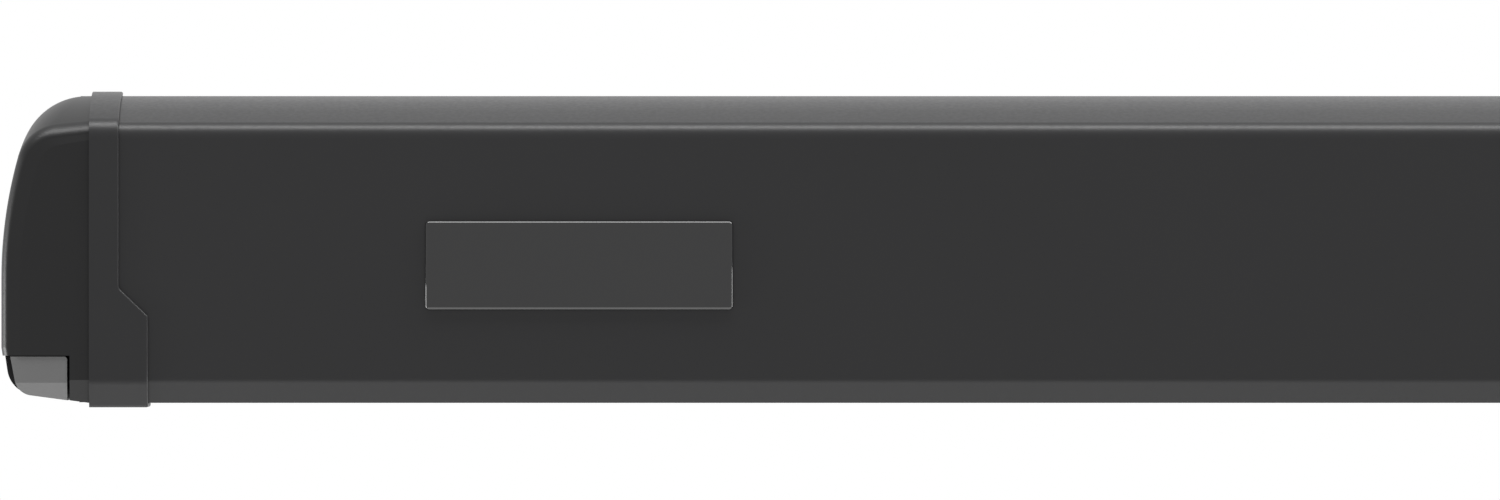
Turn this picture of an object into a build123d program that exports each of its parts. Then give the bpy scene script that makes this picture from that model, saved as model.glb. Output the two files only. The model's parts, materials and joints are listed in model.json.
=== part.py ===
from build123d import *
import os
from math import acos, asin, atan2, cos, degrees, hypot, pi, radians, sin, sqrt

# Roll-out cassette awning for the wall of a camper, shown closed.
# Millimetres. +X runs along the case to the right of someone who faces it, -Y points away
# from the wall and +Z up. The wall is the plane y = 0, and the origin is the middle of the
# rectangle of wall bolts. Sections are drawn as (depth from the wall, height).

# Overall form
overall_length = 1900.0
profile_height = 97.0
case_depth = 118.0

# Fits and clearances
running_fit = 0.05
open_pivot_fit = 0.35
slide_gap = 0.3
seat_gap = 0.3
seam_gap = 1.0
cut_over = 5.0

# Case extrusion
case_wall = 2.0
plate_gap = 5.0
roof_front = 70.0
floor_front = 85.5
step_depth = 12.0
step_underside = -41.2
port_radius = 3.4
port_bore = 1.6
port_sink = 0.2
case_corner = 1.6

# Wall brackets, hook channel and locking screws
bracket_end_inset = 350.0
bracket_width = 70.0
bracket_plate = plate_gap
bolt_rows = 50.0
bolt_hole = 3.25
bolt_sink = 6.2
hook_arm = 3.0
hook_top = 38.5
hook_rise = 5.0
hook_reach = 6.0
hook_thickness = 2.7
channel_clearance = 1.5
lock_radius = 2.2
lock_head = 3.3
lock_head_height = 1.8
ledge_bottom = -46.2

# Roller, wound fabric and the fabric's free stretch
roller_depth = 40.0
roller_height = 16.5
roller_radius = 23.0
roller_wall = 1.6
roller_end_inset = 60.0
groove_count = 3
groove_width = 4.0
groove_depth = 3.0
wound_thickness = 4.3
fabric_side_margin = 20.0
fabric_thickness = 0.5
plug_flange = 4.0
plug_spigot = 30.0
journal_radius = 6.0
bush_wall = 3.0
bush_flange = 1.5
bush_flange_rim = 2.0

# Ends of the case
cover_width = 28.0
end_plate_thickness = 4.0
cover_wall = 2.5
side_radius_start = -2.0
side_shoulder_inset = 14.5
top_corner_radius = 20.0
foot_corner_radius = 9.0
foot_corner_lift = 3.3
foot_taper = 2.2
foot_taper_start = -31.0
screw_radius = 1.55
screw_head = 2.2
screw_head_height = 2.4
screw_length = 14.0
screw_taper = 20.0

# Gearbox and crank shaft
gearbox_width = 14.0
gearbox_radius = 17.0
gearbox_corner = 2.0
worm_offset = 16.0
worm_boss_radius = 8.0
worm_boss_bottom = -2.0
worm_boss_top = 28.0
crank_radius = 4.0
crank_blind = 3.0
crank_collar_radius = 6.5
crank_collar = 3.0
crank_hole_gap = 0.6
eye_drop = 18.0
eye_outer = 14.0
eye_bore = 8.0
eye_width = 7.0
eye_round = 2.5

# Folding arms: pivots, tubes and joints
arm_pitch = 6.0
shoulder_end_inset = 80.0
elbow_from_middle = 130.0
shoulder_depth = 49.0
shoulder_height = -28.0
arm_spacing = 24.0
tube_width = 22.0
tube_height = 24.0
tube_round = 7.0
tube_wall = 2.0
tube_start = 18.0
spigot_length = 28.0
spigot_gap = 0.15
block_length = 7.0
fork_radius = 11.6
fork_height = 25.0
tongue_radius = 11.0
tongue_height = 14.0
fork_side_gap = 0.15
fork_throat = 18.0
pin_radius = 4.0
pin_head_radius = 6.5
pin_head = 1.0
root_width = 1.0

# Shoulder brackets and lead arm brackets
shoulder_root = 36.0
shoulder_base = 4.0
shoulder_base_length = 62.0
shoulder_base_top = -9.0
shoulder_base_bottom = -37.0
lead_root = 28.0
lead_base = 2.4
lead_base_length = 46.0
lead_base_height = 26.0
rivet_radius = 2.4
rivet_head = 4.0
rivet_head_height = 1.2
rivet_inset = 7.0

# Lead rail
rail_wall = 1.6
rail_back = 87.5
hood_back = 72.0
hood_drop = 10.1
crease_radius = 5.5
chin_radius = 4.0
chin_height = 7.2
chin_depth = 3.5
channel_roof = -20.0
stiffener_height = 8.0
keder_groove_radius = 3.25
keder_groove_wall = 1.6
keder_radius = 2.9
keder_setback = 3.2
keder_height = 41.0
keder_slot = 2.4

# Collar, lead cap and corner insert
collar_left = 28.0
collar_proud = 1.4
collar_plate = 2.0
collar_short = 7.4
collar_long = 16.6
collar_jog_top = -12.3
collar_jog_bottom = -21.1
collar_jog_round = 2.0
collar_round = 0.6
front_side_inset = 0.3
front_side_start = -10.0
front_shoulder_inset = 7.5
front_corner_radius = 13.0
front_top_droop = 2.2
cap_face_rise = 0.6
cap_face_side = 3.6
cap_face_top = 2.0
cap_edge_radius = 4.0
cap_brow_share = 0.6
brow_steps = 4
cap_pocket_wall = 8.0
cap_pocket_share = 0.2
insert_notch_width = 21.9
insert_notch_top = -33.6
insert_left = 3.2
insert_right = 21.1
insert_corner = 1.0
insert_back = 90.0
insert_setback = 0.4

# Badge plate, left bare
badge_width = 97.0
badge_height = 28.0
badge_from_end = 182.4
badge_centre_height = -5.2
badge_thickness = 1.6
badge_corner = 3.0
badge_edge = 0.7

# Seal between case and hood
seal_foot = 6.0
seal_foot_thickness = 1.4
seal_lip = 1.5
seal_end_gap = 18.0

# Legs in the lead rail
leg_end_inset = 70.0
leg_radius = 10.0
leg_wall = 1.2
leg_top_gap = 3.0
leg_bracket_wall = 1.5
leg_bracket_length = 40.0
leg_pin_radius = 3.0
knuckle_radius = 9.5
knuckle_spigot = 24.0
outer_leg_start = 14.0
outer_leg_from_middle = 80.0
middle_leg_start = 60.0
inner_leg_start = 100.0
clamp_wall = 1.2
clamp_length = 24.0
clamp_overlap = 12.0
clamp_lip = 2.0
foot_length = 20.0
foot_radius = 9.5
foot_spigot = 14.0
foot_round = 2.0

# Values worked out from the sizes above
half_length = overall_length / 2
half_height = profile_height / 2
case_half = half_length - cover_width
bracket_x = half_length - bracket_end_inset
roof_underside = half_height - case_wall
roller_half = half_length - roller_end_inset
fabric_half = roller_half - fabric_side_margin
shoulder_x = half_length - shoulder_end_inset
link_length = shoulder_x - elbow_from_middle
leg_pivot_x = half_length - leg_end_inset
outer_leg_end = leg_pivot_x - outer_leg_from_middle
wound_radius = roller_radius + wound_thickness
rail_half = half_length - collar_left - collar_plate
hood_length = case_depth - hood_back
hood_radius = (hood_length**2 + hood_drop**2) / (2 * hood_drop)
crease_height = half_height - hood_drop
chin_top = -half_height + chin_height
rail_inner_back = rail_back + rail_wall
rail_inner_front = case_depth - rail_wall
leg_depth = (rail_inner_back + case_depth - chin_depth - rail_wall) / 2
leg_height = channel_roof - leg_top_gap - leg_radius
fold_angle = asin(arm_spacing / (2 * link_length))
elbow_x = link_length * cos(fold_angle)
elbow_offset = arm_spacing / 2
worm_depth = roller_depth + worm_offset
gearbox_mid = case_half + end_plate_thickness + gearbox_width / 2
keder_depth = rail_back - keder_setback

print("fold angle at rest", round(degrees(fold_angle), 3))
print("elbow from shoulder", round(elbow_x, 2))

# Working planes. Sections look along the case: local x is depth, local y is height, and a
# positive offset moves towards the left end. The arm plane is tilted by the arms' pitch.
section = Plane(origin=(0, 0, 0), x_dir=(0, -1, 0), z_dir=(-1, 0, 0))
pitch = radians(arm_pitch)
arm_plane = Plane(
    origin=(-shoulder_x, -shoulder_depth, shoulder_height),
    x_dir=(1, 0, 0),
    z_dir=(0, -sin(pitch), cos(pitch)),
)


def strip(depth_a, depth_b, height_a, height_b, mode=Mode.ADD):
    """Add one straight wall of a section, from corner to corner."""
    with Locations(((depth_a + depth_b) / 2, (height_a + height_b) / 2)):
        Rectangle(abs(depth_b - depth_a), abs(height_b - height_a), mode=mode)


def arm_section(x, y):
    """Plane square to an arm tube at local x, y of the arm plane."""
    origin = arm_plane.from_local_coords((x, y, 0))
    return Plane(origin=origin, x_dir=arm_plane.y_dir, z_dir=arm_plane.x_dir)


def hood_height(depth, wall=0.0):
    """Height of the hood's surface at a depth, drawn in by a wall."""
    return half_height - hood_radius + sqrt((hood_radius - wall) ** 2 - (depth - hood_back) ** 2)


# Case extrusion: roof, rear wall with the brackets' hook channel, foot step and floor
channel_depth = plate_gap + hook_reach + channel_clearance
channel_low = hook_top - hook_arm - channel_clearance
port_step = port_radius - port_sink
upper_port = (plate_gap + case_wall + port_step, channel_low - case_wall - port_step)
lower_port = (plate_gap + case_wall + port_step, -port_radius)
floor_port = (step_depth + case_wall + port_step, -roof_underside + port_step)
case_ports = (upper_port, lower_port, floor_port)

with BuildPart() as cassette_housing:
    with BuildSketch(section):
        strip(plate_gap, roof_front, roof_underside, half_height)
        strip(plate_gap, plate_gap + case_wall, hook_top, half_height)
        strip(plate_gap, channel_depth + case_wall, channel_low - case_wall, channel_low)
        strip(channel_depth, channel_depth + case_wall, channel_low, roof_underside)
        strip(plate_gap, plate_gap + case_wall, step_underside, channel_low)
        strip(plate_gap, step_depth + case_wall, step_underside, step_underside + case_wall)
        strip(step_depth, step_depth + case_wall, -half_height, step_underside)
        strip(step_depth, floor_front, -half_height, -roof_underside)
        with Locations(*case_ports):
            Circle(port_radius)
        with Locations(*case_ports):
            Circle(port_bore, mode=Mode.SUBTRACT)
    extrude(amount=case_half, both=True)
    top_edges = cassette_housing.edges().filter_by(Axis.X).group_by(Axis.Z)[-1]
    fillet(top_edges.sort_by(Axis.Y)[-1], case_corner)
    with BuildSketch(Plane.XY.offset(step_underside - cut_over)):
        with Locations(
            (-bracket_x, -(plate_gap + step_depth) / 2),
            (bracket_x, -(plate_gap + step_depth) / 2),
        ):
            Circle(lock_radius + running_fit)
    extrude(amount=cut_over + case_wall, mode=Mode.SUBTRACT)

# Wall bracket: plate with countersunk holes, a hook for the case and a foot ledge
with BuildPart() as wall_bracket_left:
    with BuildSketch(section.offset(bracket_x)):
        hook_front = plate_gap + hook_reach
        strip(0, bracket_plate, ledge_bottom, hook_top + hook_rise)
        strip(0, hook_front, hook_top - hook_arm, hook_top)
        strip(hook_front - hook_thickness, hook_front, hook_top - hook_arm, hook_top + hook_rise)
        strip(0, step_depth - seat_gap, ledge_bottom, step_underside - seat_gap)
    extrude(amount=bracket_width / 2, both=True)
    plate_front = Plane(
        origin=(-bracket_x, -bracket_plate, 0), x_dir=(1, 0, 0), z_dir=(0, -1, 0)
    )
    with Locations(plate_front):
        with GridLocations(bolt_rows, bolt_rows, 1, 2):
            CounterSinkHole(bolt_hole, bolt_sink)
    ledge_face = Plane(
        origin=(-bracket_x, -(plate_gap + step_depth) / 2, step_underside - seat_gap),
        z_dir=(0, 0, 1),
    )
    with Locations(ledge_face):
        Hole(lock_radius + running_fit, depth=abs(ledge_bottom - step_underside) + cut_over)
    fillet(wall_bracket_left.edges().filter_by(Axis.Y).group_by(Axis.Z)[-1], hook_arm / 2)

with BuildPart() as wall_bracket_right:
    mirror(wall_bracket_left.part, about=Plane.YZ)


def side_outline(inset=0.0):
    """Draw the end of the case as seen from the side, behind the parting line."""
    with BuildLine() as outline_edges:
        Polyline(
            (plate_gap + inset, half_height - inset),
            (roof_front - inset, half_height - inset),
            (floor_front - inset, -half_height + inset),
            (step_depth + inset, -half_height + inset),
            (step_depth + inset, step_underside + inset),
            (plate_gap + inset, step_underside + inset),
            close=True,
        )
    make_face(outline_edges.edges())


def round_corner(sketch, corner, radius):
    """Round the corner of a sketch that lies nearest to a point."""
    fillet(sketch.vertices().sort_by_distance((*corner, 0))[0], radius)


def end_silhouette(sketch, inset=0.0):
    """Draw the rounded left end of the case as seen from the front."""
    left = -half_length + inset
    top = half_height - inset
    low = -half_height + inset
    right = -case_half + cover_width
    shoulder = (left + side_shoulder_inset, top)
    foot = (left + foot_taper, -half_height + foot_corner_lift + inset)
    taper = (left, foot_taper_start)
    with BuildLine() as outline_edges:
        TangentArc((left, side_radius_start), shoulder, tangent=(0, 1))
        Polyline(shoulder, (right, top), (right, low), (-case_half, low), foot, taper)
        Line(taper, (left, side_radius_start))
    make_face(outline_edges.edges())
    round_corner(sketch, shoulder, top_corner_radius - inset)
    round_corner(sketch, foot, foot_corner_radius - inset)


# End plates close the case and carry the roller's bushes
with BuildPart() as end_plate_left:
    with BuildSketch(section.offset(case_half)):
        side_outline()
        with Locations((roller_depth, roller_height)):
            Circle(journal_radius + bush_wall, mode=Mode.SUBTRACT)
        with Locations(*case_ports):
            Circle(screw_radius + running_fit, mode=Mode.SUBTRACT)
    extrude(amount=end_plate_thickness)

with BuildPart() as end_plate_right:
    mirror(end_plate_left.part, about=Plane.YZ)

# Rounded end covers: thin shells over the end plates
with BuildPart() as cover_core:
    with BuildSketch(Plane.XZ) as core_front:
        end_silhouette(core_front, cover_wall)
    extrude(amount=case_depth)
    with BuildSketch(section.offset(case_half + end_plate_thickness)):
        side_outline(cover_wall)
    extrude(amount=cover_width, mode=Mode.INTERSECT)

with BuildPart() as end_cover_left:
    with BuildSketch(Plane.XZ) as cover_front:
        end_silhouette(cover_front)
    extrude(amount=case_depth)
    with BuildSketch(section.offset(case_half + end_plate_thickness)):
        side_outline()
    extrude(amount=cover_width, mode=Mode.INTERSECT)
    add(cover_core.part, mode=Mode.SUBTRACT)

with BuildPart() as end_cover_right:
    mirror(end_cover_left.part, about=Plane.YZ)
    with BuildSketch(Plane.XY.offset(-half_height - cut_over)):
        with Locations((gearbox_mid, -worm_depth)):
            Circle(crank_radius + crank_hole_gap)
    extrude(amount=cut_over + foot_corner_radius, mode=Mode.SUBTRACT)

# Gearbox outside the right end plate: a round wheel case merged with the upright worm case
with BuildPart() as gearbox:
    with BuildSketch(section.offset(-case_half - end_plate_thickness)) as gear_case:
        with Locations((roller_depth, roller_height)):
            Circle(gearbox_radius)
        with Locations((worm_depth, (worm_boss_top + worm_boss_bottom) / 2)):
            Rectangle(2 * worm_boss_radius, worm_boss_top - worm_boss_bottom)
        make_hull(gear_case.edges())
    extrude(amount=-gearbox_width)
    fillet(gearbox.faces().sort_by(Axis.X)[-1].edges(), gearbox_corner)
    with BuildSketch(section.offset(-case_half - end_plate_thickness)):
        with Locations((roller_depth, roller_height)):
            Circle(journal_radius + running_fit)
    extrude(amount=-(gearbox_width - gearbox_corner), mode=Mode.SUBTRACT)
    with BuildSketch(Plane.XY.offset(worm_boss_bottom - cut_over)):
        with Locations((gearbox_mid, -worm_depth)):
            Circle(crank_radius + running_fit)
    extrude(amount=worm_boss_top - worm_boss_bottom - crank_blind + cut_over, mode=Mode.SUBTRACT)

# Crank shaft with its collar and the eye that takes the crank's hook
eye_height = -half_height - eye_drop
with BuildPart() as crank_shaft:
    crank_top = worm_boss_top - crank_blind - seat_gap
    with BuildSketch(Plane.XY.offset(eye_height + (eye_outer + eye_bore) / 2)):
        with Locations((gearbox_mid, -worm_depth)):
            Circle(crank_radius)
    extrude(amount=crank_top - eye_height - (eye_outer + eye_bore) / 2)
    with BuildSketch(Plane.XY.offset(worm_boss_bottom - seat_gap - crank_collar)):
        with Locations((gearbox_mid, -worm_depth)):
            Circle(crank_collar_radius)
    extrude(amount=crank_collar)
    eye_centre = (gearbox_mid, -worm_depth, eye_height)
    with BuildSketch(Plane(origin=eye_centre)) as eye_profile:
        with Locations(((eye_bore + eye_outer) / 2, 0)):
            Rectangle(eye_outer - eye_bore, eye_width)
        fillet(eye_profile.vertices().group_by(Axis.X)[-1], eye_round)
    revolve(axis=Axis(eye_centre, (0, 1, 0)))

# Bushes pressed into the end plates
with BuildPart() as roller_bushes:
    with BuildSketch(section.offset(case_half)):
        with Locations((roller_depth, roller_height)):
            Circle(journal_radius + bush_wall)
    extrude(amount=end_plate_thickness)
    with BuildSketch(section.offset(case_half)):
        with Locations((roller_depth, roller_height)):
            Circle(journal_radius + bush_wall + bush_flange_rim)
    extrude(amount=-bush_flange)
    with BuildSketch(section.offset(case_half - bush_flange)):
        with Locations((roller_depth, roller_height)):
            Circle(journal_radius + running_fit)
    extrude(amount=bush_flange + end_plate_thickness, mode=Mode.SUBTRACT)
    mirror(about=Plane.YZ)

# Roller tube with its fabric grooves, end plugs and the wound fabric
with BuildPart() as roller_tube:
    with BuildSketch(section):
        with Locations((roller_depth, roller_height)):
            Circle(roller_radius)
            Circle(roller_radius - roller_wall, mode=Mode.SUBTRACT)
        with Locations((roller_depth, roller_height)):
            with PolarLocations(roller_radius - groove_depth / 2, groove_count):
                Rectangle(groove_depth, groove_width + 2 * roller_wall)
        with Locations((roller_depth, roller_height)):
            Circle(roller_radius, mode=Mode.INTERSECT)
            with PolarLocations(roller_radius, groove_count):
                Rectangle(2 * (groove_depth - roller_wall), groove_width, mode=Mode.SUBTRACT)
    extrude(amount=roller_half, both=True)

plug_core = roller_radius - groove_depth - slide_gap
with BuildPart() as roller_plugs:
    with BuildSketch(section.offset(roller_half)):
        with Locations((roller_depth, roller_height)):
            Circle(roller_radius)
    extrude(amount=plug_flange)
    with BuildSketch(section.offset(roller_half)):
        with Locations((roller_depth, roller_height)):
            Circle(plug_core)
    extrude(amount=-plug_spigot)
    with BuildSketch(section.offset(roller_half + plug_flange)):
        with Locations((roller_depth, roller_height)):
            Circle(journal_radius)
    extrude(amount=case_half + end_plate_thickness + journal_radius - roller_half - plug_flange)
    mirror(about=Plane.YZ)

with BuildPart() as fabric_roll:
    with BuildSketch(section):
        with Locations((roller_depth, roller_height)):
            Circle(wound_radius)
            Circle(roller_radius, mode=Mode.SUBTRACT)
    extrude(amount=fabric_half, both=True)

# Free stretch of fabric: tangent to the roll, straight to the lead rail's groove
fabric_radius = wound_radius + seat_gap + fabric_thickness / 2
run_depth = keder_depth - roller_depth
run_height = keder_height - roller_height
run_length = hypot(run_depth, run_height)
leave_angle = atan2(run_height, run_depth) + acos(fabric_radius / run_length)
leave_point = (
    roller_depth + fabric_radius * cos(leave_angle),
    roller_height + fabric_radius * sin(leave_angle),
)
free_length = sqrt(run_length**2 - fabric_radius**2) - keder_radius - seat_gap
fabric_plane = Plane(
    origin=section.from_local_coords((*leave_point, 0)),
    x_dir=(0, -sin(leave_angle), -cos(leave_angle)),
    z_dir=(-1, 0, 0),
)
print("fabric leaves the roll at", [round(value, 2) for value in leave_point])
with BuildPart() as fabric_lead:
    with BuildSketch(fabric_plane):
        with Locations((free_length / 2, 0)):
            Rectangle(free_length, fabric_thickness)
    extrude(amount=fabric_half, both=True)

with BuildPart() as fabric_keder:
    with BuildSketch(section):
        with Locations((keder_depth, keder_height)):
            Circle(keder_radius)
    extrude(amount=fabric_half, both=True)

# Rubber seal on the roof's front edge, where the hood closes against the case
with BuildPart() as hood_seal:
    with BuildSketch(section):
        lip_front = roof_front + seal_lip
        foot_bottom = roof_underside - seal_foot_thickness
        strip(roof_front - seal_foot, lip_front, foot_bottom, roof_underside)
        strip(roof_front, lip_front, foot_bottom, half_height - seat_gap)
    extrude(amount=case_half - seal_end_gap, both=True)
    fillet(hood_seal.edges().filter_by(Axis.X).sort_by(Axis.Y)[0], seal_foot_thickness / 2)


def tube_end(x, y, towards_tube):
    """Block that closes an arm tube, with the spigot that fills the tube's end."""
    end_plane = arm_section(x, y)
    with BuildSketch(end_plane) as profile:
        RectangleRounded(tube_width, tube_height, tube_round)
    extrude(profile.sketch, amount=-towards_tube * block_length)
    inner = 2 * (tube_wall + spigot_gap)
    with BuildSketch(end_plane) as profile:
        RectangleRounded(tube_width - inner, tube_height - inner, tube_round - inner / 2)
    extrude(profile.sketch, amount=towards_tube * spigot_length)


def joint_body(head, radius, height, root, root_size):
    """Plate of one height that wraps a round joint head and its square root."""
    with BuildSketch(arm_plane) as outline:
        with Locations(head):
            Circle(radius)
        with Locations(root):
            Rectangle(*root_size)
        make_hull(outline.edges())
    extrude(outline.sketch, amount=height / 2, both=True)


def pivot_bore(head, radius, height, mode=Mode.SUBTRACT):
    """Round bore or pin along a pivot of the arm plane."""
    with BuildSketch(arm_plane) as profile:
        with Locations(head):
            Circle(radius)
    extrude(profile.sketch, amount=height / 2, both=True, mode=mode)


def fork(head, root, root_size):
    """Two cheeks around a throat, with the bore for the pivot pin."""
    joint_body(head, fork_radius, fork_height, root, root_size)
    pivot_bore(head, fork_throat, tongue_height + 2 * fork_side_gap)
    pivot_bore(head, pin_radius + running_fit, 2 * fork_height)


def tongue(head, fit, root, root_size):
    """Eye that turns between two cheeks."""
    joint_body(head, tongue_radius, tongue_height, root, root_size)
    pivot_bore(head, pin_radius + fit, 2 * fork_height)


def pivot_pin(head):
    """Headed pin through a fork."""
    pivot_bore(head, pin_radius, fork_height, Mode.ADD)
    for top in (1, -1):
        with BuildSketch(arm_plane.offset(top * fork_height / 2)) as profile:
            with Locations(head):
                Circle(pin_head_radius)
        extrude(profile.sketch, amount=top * pin_head)


def arm_tube(y):
    """Hollow arm extrusion between its two end blocks."""
    with BuildSketch(arm_section(tube_start + block_length, y)) as profile:
        RectangleRounded(tube_width, tube_height, tube_round)
        inner = 2 * tube_wall
        RectangleRounded(
            tube_width - inner, tube_height - inner, tube_round - tube_wall, mode=Mode.SUBTRACT
        )
    extrude(profile.sketch, amount=elbow_x - 2 * (tube_start + block_length))


# Pivots of the left arm in the arm plane
shoulder_at = (0, 0)
elbow_at = (elbow_x, -elbow_offset)
front_at = (0, -arm_spacing)
near_face = tube_start + block_length
far_face = elbow_x - near_face
near_root = tube_start + root_width / 2
far_root = elbow_x - near_root
root_size = (root_width, tube_width)

# Shoulder brackets on the case's rear wall
base_front = plate_gap + case_wall
base_shift = fork_radius / 2
base_mid = -shoulder_x - base_shift
base_rise = (shoulder_base_top + shoulder_base_bottom) / 2
base_height = shoulder_base_top - shoulder_base_bottom
rivet_columns = shoulder_base_length - 2 * rivet_inset
rivet_rows = base_height - 2 * rivet_inset
with BuildPart() as shoulder_bracket_left:
    fork(shoulder_at, (-base_shift / 2, shoulder_root), (2 * fork_radius, shoulder_root / 2))
    split(bisect_by=Plane(origin=(0, -base_front, 0), z_dir=(0, -1, 0)), keep=Keep.TOP)
    with BuildSketch(Plane.XZ.offset(base_front)):
        with Locations((base_mid, base_rise)):
            RectangleRounded(shoulder_base_length, base_height, rivet_head)
            with GridLocations(rivet_columns, rivet_rows, 2, 2):
                Circle(rivet_radius + running_fit, mode=Mode.SUBTRACT)
    extrude(amount=shoulder_base)

with BuildPart() as shoulder_bracket_right:
    mirror(shoulder_bracket_left.part, about=Plane.YZ)

# Upper arm: shoulder end, tube and elbow fork
with BuildPart() as shoulder_end_left:
    tongue(shoulder_at, running_fit, (near_root, 0), root_size)
    tube_end(near_face, 0, 1)

with BuildPart() as upper_tube_left:
    arm_tube(0)

with BuildPart() as elbow_fork_left:
    fork(elbow_at, (far_root, 0), root_size)
    tube_end(far_face, 0, -1)

with BuildPart() as elbow_pin_left:
    pivot_pin(elbow_at)

# Forearm: elbow end, tube and front end
with BuildPart() as elbow_end_left:
    tongue(elbow_at, running_fit, (far_root, -arm_spacing), root_size)
    tube_end(far_face, -arm_spacing, -1)

with BuildPart() as forearm_tube_left:
    arm_tube(-arm_spacing)

with BuildPart() as front_end_left:
    tongue(front_at, running_fit, (near_root, -arm_spacing), root_size)
    tube_end(near_face, -arm_spacing, 1)

# Arm brackets on the back of the lead rail
lead_mid = -shoulder_x - base_shift
lead_rise = shoulder_height - arm_spacing * sin(pitch)
with BuildPart() as lead_brackets:
    with BuildSketch(Plane.XZ.offset(rail_back)):
        with Locations((lead_mid, lead_rise)):
            RectangleRounded(lead_base_length, lead_base_height, rivet_head)
    extrude(amount=-lead_base)
    fork(front_at, (-base_shift, -arm_spacing - lead_root / 2), (lead_root, lead_root / 2))
    split(bisect_by=Plane(origin=(0, -rail_back, 0), z_dir=(0, 1, 0)), keep=Keep.TOP)
    mirror(about=Plane.YZ)

# Pins that stay with the case and with the lead rail
with BuildPart() as shoulder_pins:
    pivot_pin(shoulder_at)
    mirror(about=Plane.YZ)

with BuildPart() as lead_pins:
    pivot_pin(front_at)
    mirror(about=Plane.YZ)

# The right arm mirrors the left one; its front eye has more play, because only the
# couplings bring it to its pin
with BuildPart() as front_end_right:
    mirror(front_end_left.part, about=Plane.YZ)
    with BuildSketch(arm_plane.offset(0)):
        with Locations((2 * shoulder_x, -arm_spacing)):
            Circle(pin_radius + open_pivot_fit)
    extrude(amount=fork_height, both=True, mode=Mode.SUBTRACT)

with BuildPart() as shoulder_end_right:
    mirror(shoulder_end_left.part, about=Plane.YZ)

with BuildPart() as upper_tube_right:
    mirror(upper_tube_left.part, about=Plane.YZ)

with BuildPart() as elbow_fork_right:
    mirror(elbow_fork_left.part, about=Plane.YZ)

with BuildPart() as elbow_pin_right:
    mirror(elbow_pin_left.part, about=Plane.YZ)

with BuildPart() as elbow_end_right:
    mirror(elbow_end_left.part, about=Plane.YZ)

with BuildPart() as forearm_tube_right:
    mirror(forearm_tube_left.part, about=Plane.YZ)

# Fasteners of the case: end plate screws, locking screws driven up through each bracket's
# ledge into the step of the case, and the rivets of the shoulder brackets
with BuildPart() as case_fasteners:
    with BuildSketch(section.offset(case_half + end_plate_thickness - screw_length)):
        with Locations(*case_ports):
            Circle(screw_radius)
    extrude(amount=screw_length)
    with BuildSketch(section.offset(case_half + end_plate_thickness)):
        with Locations(*case_ports):
            Circle(screw_head)
    extrude(amount=screw_head_height, taper=screw_taper)
    lock_plane = Plane(
        origin=(-bracket_x, -(plate_gap + step_depth) / 2, ledge_bottom),
        z_dir=(0, 0, -1),
    )
    with BuildSketch(lock_plane):
        Circle(lock_head)
    extrude(amount=lock_head_height)
    with BuildSketch(lock_plane):
        Circle(lock_radius)
    extrude(amount=-(step_underside + case_wall - ledge_bottom))
    with BuildSketch(Plane.XZ.offset(base_front + shoulder_base)):
        with Locations((base_mid, base_rise)):
            with GridLocations(rivet_columns, rivet_rows, 2, 2):
                Circle(rivet_head)
    extrude(amount=rivet_head_height)
    with BuildSketch(Plane.XZ.offset(base_front)):
        with Locations((base_mid, base_rise)):
            with GridLocations(rivet_columns, rivet_rows, 2, 2):
                Circle(rivet_radius)
    extrude(amount=shoulder_base)
    mirror(about=Plane.YZ)


def rail_outline(sketch):
    """Fill the lead rail's section: hood, front, chin, floor and back."""
    with BuildLine() as outline_edges:
        TangentArc((hood_back, half_height), (case_depth, crease_height), tangent=(1, 0))
        Polyline(
            (case_depth, crease_height),
            (case_depth, chin_top),
            (case_depth - chin_depth, -half_height),
            (rail_back, -half_height),
            (rail_back, hood_height(rail_back, rail_wall)),
        )
        TangentArc(
            (hood_back, half_height - rail_wall),
            (rail_back, hood_height(rail_back, rail_wall)),
            tangent=(1, 0),
        )
        Line((hood_back, half_height - rail_wall), (hood_back, half_height))
    make_face(outline_edges.edges())
    round_corner(sketch, (case_depth, crease_height), crease_radius)
    round_corner(sketch, (case_depth, chin_top), chin_radius)


def chamber(low, high):
    """Cut one flat chamber out of the lead rail's section."""
    strip(rail_inner_back, rail_inner_front, low, high, Mode.SUBTRACT)


# Lead rail: hood, two chambers, keder groove and the leg channel that opens downwards
chin_wall = rail_wall * hypot(chin_depth, chin_height) / chin_height
rail_mid = (rail_inner_back + rail_inner_front) / 2
with BuildPart() as lead_rail:
    with BuildSketch(section) as rail_section:
        rail_outline(rail_section)
        with Locations((keder_depth, keder_height)):
            Circle(keder_groove_radius + keder_groove_wall)
        chamber(channel_roof + rail_wall, stiffener_height)
        with BuildLine():
            ThreePointArc(
                (rail_inner_back, hood_height(rail_inner_back, rail_wall)),
                (rail_mid, hood_height(rail_mid, rail_wall)),
                (rail_inner_front, hood_height(rail_inner_front, rail_wall)),
            )
            Polyline(
                (rail_inner_front, hood_height(rail_inner_front, rail_wall)),
                (rail_inner_front, stiffener_height + rail_wall),
                (rail_inner_back, stiffener_height + rail_wall),
                (rail_inner_back, hood_height(rail_inner_back, rail_wall)),
            )
        make_face(mode=Mode.SUBTRACT)
        with BuildLine():
            Polyline(
                (rail_inner_back, channel_roof),
                (rail_inner_front, channel_roof),
                (rail_inner_front, chin_top),
                (case_depth - chin_depth - chin_wall, -half_height),
                (case_depth - chin_depth - chin_wall, -half_height - cut_over),
                (rail_inner_back, -half_height - cut_over),
                close=True,
            )
        make_face(mode=Mode.SUBTRACT)
        with Locations((keder_depth, keder_height)):
            Circle(keder_groove_radius, mode=Mode.SUBTRACT)
        strip(
            hood_back, keder_depth, keder_height - keder_slot / 2, keder_height + keder_slot / 2,
            Mode.SUBTRACT,
        )
    extrude(amount=rail_half, both=True)

def on_collar_rim(edge):
    """Say whether an edge follows the collar's inner rim round its hood, front and foot."""
    box = edge.bounding_box()
    at_rim = box.min.X > -rail_half - collar_plate + seam_gap
    in_front = box.min.Y < -case_depth + 2 * chin_depth
    through = box.size.Z < seat_gap and box.size.Y > seat_gap and box.max.Z > -half_height
    return at_rim and in_front and not through


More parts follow.
